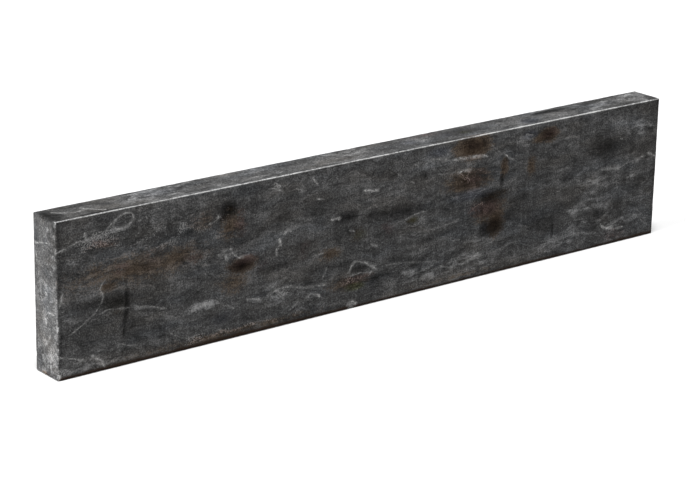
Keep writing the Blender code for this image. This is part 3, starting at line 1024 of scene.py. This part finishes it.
    def build(self) -> bpy.types.Object:
        """Make the surface, lay the marks on it and dress it.

        Returns:
            The slab's object, riding on its body in place of the CAD node.
        """
        self.build_grid()
        self.break_flakes()
        mesh = bpy.data.meshes.new("stone_slab")
        mesh.from_pydata(self.points.tolist(), [], self.quads.tolist())
        mesh.shade_smooth()
        for name, values in self.marks().items():
            attribute = mesh.attributes.new(name, "FLOAT_VECTOR", "POINT")
            attribute.data.foreach_set("vector", values.astype(np.float32).ravel())
        mesh.materials.append(HonedStone().material())
        slab = bpy.data.objects.new("stone_slab", mesh)
        bpy.context.scene.collection.objects.link(slab)
        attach(slab, "root")
        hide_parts(self.node)
        LOG.info("%s: %d points, %d quads", slab.name, len(self.points), len(self.quads))
        return slab


# ------------------------------------------------------------------ materials


class Signal:
    """A number that varies over a surface: one output of a shader node.

    Its operators add Math nodes to the bench, so that a pattern is written as plain arithmetic.
    """

    def __init__(self, bench: "Bench", socket: bpy.types.NodeSocket) -> None:
        """Wrap a socket of the bench."""
        self.bench = bench
        self.socket = socket

    def maths(self, operation: str, *operands: "float | Signal") -> "Signal":
        """One Math node.

        Args:
            operation: the Math node's operation.
            operands: its inputs, in order.

        Returns:
            The node's result.
        """
        inputs = dict(enumerate(operands))
        return self.bench.signal("ShaderNodeMath", {"operation": operation}, inputs)

    def __add__(self, other: "float | Signal") -> "Signal":
        """The sum."""
        return self.maths("ADD", self, other)

    def __radd__(self, other: float) -> "Signal":
        """The sum, with a number first."""
        return self.maths("ADD", other, self)

    def __sub__(self, other: "float | Signal") -> "Signal":
        """The difference."""
        return self.maths("SUBTRACT", self, other)

    def __rsub__(self, other: float) -> "Signal":
        """The difference, with a number first."""
        return self.maths("SUBTRACT", other, self)

    def __mul__(self, other: "float | Signal") -> "Signal":
        """The product."""
        return self.maths("MULTIPLY", self, other)

    def __rmul__(self, other: float) -> "Signal":
        """The product, with a number first."""
        return self.maths("MULTIPLY", other, self)

    def __rpow__(self, other: float) -> "Signal":
        """A number to the power of this."""
        return self.maths("POWER", other, self)

    def __abs__(self) -> "Signal":
        """The size without the sign."""
        return self.maths("ABSOLUTE", self)

    def most(self, other: "float | Signal") -> "Signal":
        """The larger of the two."""
        return self.maths("MAXIMUM", self, other)

    def least(self, other: "float | Signal") -> "Signal":
        """The smaller of the two."""
        return self.maths("MINIMUM", self, other)

    def eased(self, low: float, high: float) -> "Signal":
        """A smooth step from 0 at low to 1 at high.

        Args:
            low: where the result is 0; it may be above high.
            high: where the result is 1.

        Returns:
            The eased signal.
        """
        settings = {"interpolation_type": "SMOOTHSTEP"}
        inputs = {"Value": self, "From Min": low, "From Max": high}
        return self.bench.signal("ShaderNodeMapRange", settings, inputs)


class Bench:
    """The node tree on which one material is put together."""

    def __init__(self, tree: bpy.types.NodeTree) -> None:
        """Start from an empty tree."""
        self.tree = tree
        tree.nodes.clear()

    def node(
        self,
        kind: str,
        settings: Mapping[str, object] | None = None,
        inputs: Mapping[str | int, object] | None = None,
    ) -> bpy.types.Node:
        """Add one node, set it up, then fill or link its sockets.

        Args:
            kind: the node's type.
            settings: its properties.
            inputs: a value, a signal or a socket for each input, by name or number.

        Returns:
            The node.
        """
        made = self.tree.nodes.new(kind)
        for name, value in (settings or {}).items():
            setattr(made, name, value)
        for name, value in (inputs or {}).items():
            target = made.inputs[name]
            if isinstance(value, Signal):
                self.tree.links.new(value.socket, target)
            elif isinstance(value, bpy.types.NodeSocket):
                self.tree.links.new(value, target)
            else:
                target.default_value = (*value, 1.0) if target.type == "RGBA" else value
        return made

    def signal(
        self,
        kind: str,
        settings: Mapping[str, object] | None = None,
        inputs: Mapping[str | int, object] | None = None,
    ) -> Signal:
        """Add one node and wrap its first output.

        Args:
            kind: the node's type.
            settings: its properties.
            inputs: its inputs, as for node.

        Returns:
            The output as a signal.
        """
        return Signal(self, self.node(kind, settings, inputs).outputs[0])

    def channels(self, name: str) -> tuple[Signal, Signal, Signal]:
        """The three channels of one of the mesh's attributes."""
        vector = self.node("ShaderNodeAttribute", {"attribute_name": name}).outputs["Vector"]
        parts = self.node("ShaderNodeSeparateXYZ", None, {0: vector})
        return tuple(Signal(self, parts.outputs[i]) for i in range(3))

    def stretched(self, place: bpy.types.NodeSocket, scale: Triple) -> bpy.types.NodeSocket:
        """The place with each axis scaled, so that a pattern is drawn out along the small ones."""
        return self.node("ShaderNodeMapping", None, {"Vector": place, "Scale": scale}).outputs[0]

    def warped(self, place: bpy.types.NodeSocket, size: float, amount: float) -> bpy.types.NodeSocket:
        """The place moved about by coloured noise.

        Args:
            place: the place.
            size: the noise's grain, in millimetres.
            amount: how far it moves, in millimetres.

        Returns:
            The moved place.
        """
        inputs = {"Vector": place, "Scale": 1.0 / (size * MM), "Detail": 2.0}
        noise = self.node("ShaderNodeTexNoise", None, inputs).outputs["Color"]
        centred = self.vector("SUBTRACT", noise, (0.5, 0.5, 0.5))
        scaled = self.vector("MULTIPLY", centred, (amount * MM,) * 3)
        return self.vector("ADD", place, scaled)

    def vector(self, operation: str, first: object, second: object) -> bpy.types.NodeSocket:
        """One Vector Math node on two vectors."""
        made = self.node("ShaderNodeVectorMath", {"operation": operation}, {0: first, 1: second})
        return made.outputs[0]

    def noise(
        self, place: bpy.types.NodeSocket, size: float, detail: float = 3.0, roughness: float = 0.55
    ) -> Signal:
        """Cloudy noise around 0.

        Args:
            place: where it is read.
            size: its grain, in millimetres.
            detail: its octaves.
            roughness: the strength of the fine octaves.

        Returns:
            The noise, less its mean of a half.
        """
        inputs = {"Vector": place, "Scale": 1.0 / (size * MM), "Detail": detail, "Roughness": roughness}
        return self.signal("ShaderNodeTexNoise", None, inputs) - 0.5

    def mixed(self, share: "float | Signal", under: object, over: object) -> bpy.types.NodeSocket:
        """One colour laid over another.

        Args:
            share: how much of the upper colour shows.
            under: the lower colour, a value or a socket.
            over: the upper colour, a value or a socket.

        Returns:
            The mixed colour.
        """
        settings = {"data_type": "RGBA", "clamp_factor": True}
        return self.node("ShaderNodeMix", settings, {0: share, 6: under, 7: over}).outputs[2]

    def shaded(self, colour: object, amount: Signal) -> bpy.types.NodeSocket:
        """A colour made lighter or darker by a signal."""
        node = self.node("ShaderNodeVectorMath", {"operation": "SCALE"}, {0: colour, "Scale": amount})
        return node.outputs[0]


@dataclass(frozen=True)
class HonedStone:
    """Dark honed stone with iron stains, shells, crystals and pale veins.

    The colours come first. Each swing is how much one kind of noise changes the lightness, in
    doublings, and each cover is the most of the stone that one kind of mark hides.
    """

    ground: Triple = (0.0478, 0.0475, 0.0475)
    warm: Triple = (0.0490, 0.0473, 0.0457)
    blue: Triple = (0.0464, 0.0475, 0.0492)
    rust_dark: Triple = (0.0146, 0.0078, 0.0043)
    rust_light: Triple = (0.0560, 0.0392, 0.0252)
    wine: Triple = (0.0381, 0.0255, 0.0263)
    teal: Triple = (0.0386, 0.0412, 0.0493)
    olive: Triple = (0.0420, 0.0442, 0.0218)
    # Colour of the pale clouds; on the left end they also paint light.
    pale_stone_and_painted_light: Triple = (0.1500, 0.1500, 0.1510)
    calcite: Triple = (0.3686, 0.3657, 0.3589)
    glint: Triple = (0.2134, 0.2115, 0.2085)
    grain_pink: Triple = (0.220, 0.170, 0.152)
    # Pale battered stone of the arrises and scars, also a painted glint.
    bruise_and_glint: Triple = (0.300, 0.300, 0.298)
    # Brown of the band at the foot of the front face: grime, and painted contact shade as well.
    dirt_and_contact_shade: Triple = (0.0179, 0.0106, 0.0065)
    cloud_swing: float = 2.7
    smoke_swing: float = 2.2
    mottle_swing: float = 3.4
    grain_swing: float = 5.4
    streak_swing: float = 1.2
    seam_swing: float = 0.60
    film_swing: float = 0.30
    rust_cover: float = 0.88
    wine_cover: float = 0.62
    tint_cover: float = 0.7
    line_cover: float = 0.95
    crack_cover: float = 0.85
    crystal_cover: float = 0.75
    dirt_and_contact_shade_cover: float = 0.95
    bruise_and_glint_cover: float = 0.80
    scar_and_glint_cover: float = 0.28
    stain_shade: float = 0.95
    bump_strength: float = 0.55
    bump_height: float = 0.35 * MM
    roughness: float = 0.85
    gloss_range: Pair = (0.35, 1.0)
    specular: float = 0.03

    def line(self, bench: Bench, name: str, place: bpy.types.NodeSocket, seed: float) -> Signal:
        """One kind of line: wavering about its middle, and broken into crumbs and gaps.

        Args:
            bench: the material's bench.
            name: the attribute that carries the lines.
            place: where the noise is read.
            seed: shifts the noise, so that no two kinds waver alike.

        Returns:
            The lines' strength.
        """
        side, reach, glow = bench.channels(name)
        moved = bench.vector("ADD", place, (seed, seed, seed))
        waver = side + 4.5 * bench.noise(moved, 6.0, 2.0) + 2.5 * bench.noise(moved, 1.8, 1.0)
        width = 1.0 + 3.0 * bench.noise(moved, 11.0, 2.0)
        core = (width - abs(waver)).eased(-0.6, 0.5)
        crumbs = bench.noise(moved, 2.1, 3.0, 0.8).eased(-0.12, 0.12)
        gaps = bench.noise(moved, 7.0, 2.0).eased(-0.08, 0.10)
        halo = 0.14 * (width * 3.0 - abs(waver)).eased(-1.0, 2.0)
        alive = reach.eased(4.2, 1.8)
        return (core * (0.10 + 0.90 * crumbs) * (0.18 + 0.82 * gaps) + halo) * alive * glow

    def patch(self, amount: Signal, ragged: Signal, spread: float = 0.36) -> Signal:
        """A patch's mask: its cloud, torn by noise, eased across its half height."""
        return (amount + ragged * amount.eased(0.0, 0.25)).eased(0.5 - spread, 0.5 + spread)

    def material(self) -> bpy.types.Material:
        """Put the stone together.

        Returns:
            The material.
        """
        made = bpy.data.materials.new("dark_honed_stone")
        made.use_nodes = True
        bench = Bench(made.node_tree)
        place = bench.node("ShaderNodeTexCoord").outputs["Object"]
        warped = bench.warped(place, 45.0, 22.0)
        bedded = bench.stretched(warped, (0.30, 0.8, 1.0))
        upright = bench.stretched(place, (1.0, 1.0, 0.08))
        rust, wine, cool = bench.channels("iron")
        dark, pale, crystal = bench.channels("cloud")
        # The wear channels: broken stone; rubbing, also a painted glint; grime at the foot, also painted
        # contact shade.
        broken, rubbed_and_glint, dirt_and_contact_shade_mask = bench.channels("wear")

        # The ground: clouds drawn out along the bed, smoke, mottles, seams, streaks and grain.
        clouds = bench.noise(bedded, 30.0, 5.0, 0.62)
        mottle = bench.noise(bedded, 7.0, 4.0, 0.65)
        grain = bench.noise(place, 2.1, 2.0, 0.8)
        streaks = bench.noise(upright, 6.0, 2.0)
        seam = abs(bench.noise(bench.vector("ADD", bedded, (3.1, 1.7, 0.9)), 16.0, 3.0))
        film = abs(bench.noise(bench.vector("ADD", bedded, (7.3, 4.1, 2.2)), 13.0, 3.0))
        smoke = bench.noise(bench.vector("ADD", warped, (1.3, 5.9, 4.4)), 34.0, 4.0, 0.6)
        level = self.cloud_swing * clouds + self.smoke_swing * smoke + self.mottle_swing * mottle
        level = level + self.grain_swing * grain + self.streak_swing * streaks
        level = level - self.seam_swing * seam.eased(0.030, 0.0)
        level = level + self.film_swing * film.eased(0.020, 0.0)
        level = 2.0**level
        tint = bench.noise(bedded, 26.0, 2.0)
        ground = bench.mixed(tint.eased(-0.16, -0.02), self.blue, self.ground)
        ground = bench.mixed(tint.eased(0.02, 0.16), ground, self.warm)
        ground = bench.shaded(ground, level)

        # Clouds of dark and pale stone, with torn edges; on the left end the pale clouds also paint light,
        # lighter towards its foot and its front edge.
        tear = 1.9 * bench.noise(bench.warped(bedded, 6.0, 2.0), 7.0, 4.0, 0.65)
        fine_tear = 1.5 * bench.noise(place, 2.6, 3.0, 0.7)
        shadow = self.patch(dark * 1.5, tear + 0.4 * fine_tear, 0.20)
        core = self.patch(dark * 0.75, tear + 0.4 * fine_tear, 0.16)
        shadow = shadow * (0.42 + 0.16 * dark.eased(0.3, 1.2) + 0.26 * core)
        pale_cloud_and_painted_light = self.patch(pale, tear + 0.5 * fine_tear, 0.28)
        pale_cloud_and_painted_light = pale_cloud_and_painted_light * (0.50 + 0.50 * pale.eased(0.7, 1.5))
        ground = bench.mixed(pale_cloud_and_painted_light, ground, bench.shaded(self.pale_stone_and_painted_light, level.least(1.7)))
        ground = bench.shaded(ground, 1.0 - shadow)

        # Stains: iron in two depths, wine red, and the cool and olive tints.
        stain = self.patch(rust * 1.3, 0.7 * tear + 0.8 * fine_tear, 0.24)
        stain = stain * (0.46 + 0.54 * rust.least(1.0))
        depth = (1.15 - 0.60 * rust + 0.9 * fine_tear + 0.6 * tear).eased(0.1, 1.0)
        iron = bench.mixed(depth, self.rust_dark, self.rust_light)
        under_shadow = 1.0 - self.stain_shade * shadow
        iron = bench.shaded(iron, level.least(1.5) * under_shadow)
        ground = bench.mixed(stain * self.rust_cover, ground, iron)
        reddened = self.patch(wine * 1.2, 0.8 * tear + 0.8 * fine_tear)
        red = bench.shaded(self.wine, level.least(2.0) * under_shadow)
        ground = bench.mixed(reddened * self.wine_cover, ground, red)
        shaded_level = level * (1.0 - shadow)
        cooler = bench.shaded(self.teal, shaded_level)
        ground = bench.mixed(cool.eased(0.05, 0.60) * self.tint_cover, ground, cooler)
        greener = bench.shaded(self.olive, shaded_level)
        ground = bench.mixed(cool.eased(-0.05, -0.60) * self.tint_cover, ground, greener)

        # Lines, and the sparkle of crystals, dense where the stone is coarse.
        vein = self.line(bench, "vein", place, 0.0)
        shell = self.line(bench, "shell", place, 3.7)
        crack = self.line(bench, "crack", place, 7.9)
        pale_line = vein.most(shell).least(1.0)
        ground = bench.shaded(ground, 1.0 - self.crack_cover * crack.least(1.0))
        ground = bench.mixed(pale_line * self.line_cover, ground, self.calcite)
        fine = bench.noise(place, 1.7, 1.0, 0.9)
        coarse = self.patch(crystal * 1.1, tear)
        grains = (fine - 0.26 + 0.28 * coarse).eased(0.0, 0.12) * (0.45 + 0.50 * coarse)
        ground = bench.shaded(ground, 1.0 - 0.30 * coarse * fine.eased(0.02, -0.10))
        crystals = bench.mixed(stain.most(reddened), self.glint, self.grain_pink)
        ground = bench.mixed(grains * self.crystal_cover, ground, crystals)

        # Wear and painted light: the foot's grime with painted contact shade, then pale battered arrises
        # and fresh scars, which also stand for a painted glint, on top.
        soiled_and_shaded = (dirt_and_contact_shade_mask + 0.5 * tear * dirt_and_contact_shade_mask).eased(0.05, 0.90)
        ground = bench.mixed(soiled_and_shaded * self.dirt_and_contact_shade_cover, ground, self.dirt_and_contact_shade)
        # Painted glint: worn arrises and fresh scars take a pale colour that is battered stone and a
        # painted glint.
        rub_and_glint = (rubbed_and_glint + 0.9 * fine_tear * rubbed_and_glint).eased(0.10, 0.80)
        fresh_scar_and_glint = (broken + 0.8 * fine_tear).eased(0.30, 1.1)
        bruised_and_glint = (rub_and_glint * self.bruise_and_glint_cover).most(fresh_scar_and_glint * self.scar_and_glint_cover)
        colour = bench.mixed(bruised_and_glint, ground, bench.shaded(self.bruise_and_glint, level.least(1.3).most(0.6)))

        # Relief: fine grain, shallow pits, lines that stand a little proud, rough broken stone.
        relief = 0.30 * grain + 0.25 * mottle + 0.30 * pale_line - 0.35 * crack + 0.25 * grains
        relief = relief - 0.5 * fine.eased(-0.20, -0.32)
        relief = relief + bruised_and_glint * 1.2 * bench.noise(place, 1.3, 3.0, 0.8)
        bump = {"Strength": self.bump_strength, "Distance": self.bump_height, "Height": relief}
        normal = bench.node("ShaderNodeBump", None, bump)
        gloss = self.roughness + 0.35 * mottle + 0.20 * grain - 0.10 * pale_line + 0.12 * stain
        smoothest, dullest = self.gloss_range
        gloss = (gloss + 0.14 * bruised_and_glint).least(dullest).most(smoothest)
        inputs = {"Base Color": colour, "Roughness": gloss, "Normal": normal.outputs[0]}
        inputs["Specular IOR Level"] = self.specular
        shader = bench.node("ShaderNodeBsdfPrincipled", None, inputs)
        bench.node("ShaderNodeOutputMaterial", None, {"Surface": shader.outputs[0]})
        return made


# ------------------------------------------------------------------ the studio


def direction(azimuth: float, elevation: float) -> Vector:
    """The unit vector at an azimuth from straight in front, turning right, and an elevation."""
    turn, rise = math.radians(azimuth), math.radians(elevation)
    return Vector((math.sin(turn) * math.cos(rise), -math.cos(turn) * math.cos(rise), math.sin(rise)))


@dataclass(frozen=True)
class LampBank:
    """A far, wide bank of lamps, by the direction that it shines from and its spread, in degrees."""

    name: str
    azimuth: float
    elevation: float
    spread: float
    strength: float
    distance: float = 3.0

    def place(self) -> bpy.types.Object:
        """Hang the bank and turn it to the slab.

        Returns:
            The lamp's object.
        """
        away = direction(self.azimuth, self.elevation)
        data = bpy.data.lights.new(self.name, "SUN")
        data.angle = math.radians(self.spread)
        data.energy = self.strength
        lamp = bpy.data.objects.new(self.name, data)
        bpy.context.scene.collection.objects.link(lamp)
        lamp.location = away * self.distance
        lamp.rotation_euler = away.to_track_quat("Z", "Y").to_euler()
        LOG.info("%s: %.1f", self.name, self.strength)
        return lamp


@dataclass(frozen=True)
class Studio:
    """A pale floor under soft light from above and from the left, and the camera."""

    target: Vector
    floor_side: float = 24.0
    floor_drop: float = 0.4 * MM
    floor_colour: Triple = (0.46, 0.46, 0.46)
    sky_strength: float = 0.245
    above: LampBank = LampBank("lamps_above", azimuth=-38, elevation=81, spread=14, strength=6.1)
    left: LampBank = LampBank("lamps_left", azimuth=-94, elevation=6, spread=34, strength=11.2)
    camera_azimuth: float = -38.68
    camera_elevation: float = 18.13
    camera_roll: float = 1.05
    camera_distance: float = 3.198
    camera_offset: Pair = (-0.0382, -0.0251)
    lens: float = 128.0
    sensor: float = 36.0

    def sky(self) -> None:
        """Even white light from all round."""
        world = bpy.data.worlds.new("white_studio")
        world.use_nodes = True
        ground = world.node_tree.nodes["Background"]
        ground.inputs["Color"].default_value = (1.0, 1.0, 1.0, 1.0)
        ground.inputs["Strength"].default_value = self.sky_strength
        bpy.context.scene.world = world

    def floor(self) -> bpy.types.Object:
        """A wide matt floor just under the slab.

        Returns:
            The floor's object.
        """
        side = self.floor_side / 2.0
        corners = ((-side, -side), (side, -side), (side, side), (-side, side))
        mesh = bpy.data.meshes.new("studio_floor")
        mesh.from_pydata([(x, y, -self.floor_drop) for x, y in corners], [], [(0, 1, 2, 3)])
        made = bpy.data.materials.new("pale_floor")
        made.use_nodes = True
        bench = Bench(made.node_tree)
        inputs = {"Base Color": self.floor_colour, "Roughness": 1.0, "Specular IOR Level": 0.0}
        shader = bench.node("ShaderNodeBsdfPrincipled", None, inputs)
        bench.node("ShaderNodeOutputMaterial", None, {"Surface": shader.outputs[0]})
        mesh.materials.append(made)
        floor = bpy.data.objects.new("studio_floor", mesh)
        bpy.context.scene.collection.objects.link(floor)
        return floor

    def camera(self) -> bpy.types.Object:
        """A long lens from the left front, a little above the slab and slightly rolled.

        Returns:
            The camera's object, made the scene's camera.
        """
        back = direction(self.camera_azimuth, self.camera_elevation)
        right = Vector((0.0, 0.0, 1.0)).cross(back).normalized()
        up = back.cross(right)
        turn = math.radians(self.camera_roll)
        rolled = math.cos(turn) * right + math.sin(turn) * up
        up = math.cos(turn) * up - math.sin(turn) * right
        data = bpy.data.cameras.new("long_lens")
        data.lens = self.lens
        data.sensor_width = self.sensor
        data.sensor_fit = "HORIZONTAL"
        camera = bpy.data.objects.new("long_lens", data)
        bpy.context.scene.collection.objects.link(camera)
        eye = self.target + back * self.camera_distance
        eye += rolled * self.camera_offset[0] + up * self.camera_offset[1]
        camera.matrix_world = Matrix.Translation(eye) @ Matrix((rolled, up, back)).transposed().to_4x4()
        bpy.context.scene.camera = camera
        return camera

    def build(self) -> None:
        """Set up the light, the floor and the camera."""
        bpy.context.scene.view_settings.view_transform = "Standard"
        self.sky()
        self.floor()
        self.above.place()
        self.left.place()
        self.camera()
        LOG.info("studio ready")


def main() -> None:
    """Build the studio and the slab."""
    logging.basicConfig(level=logging.INFO, format="%(name)s: %(message)s")
    low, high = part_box("edging_slab")
    Studio(target=(low + high) / 2.0).build()
    EdgingSlab(low, high).build()


if __name__ == "__main__":
    main()
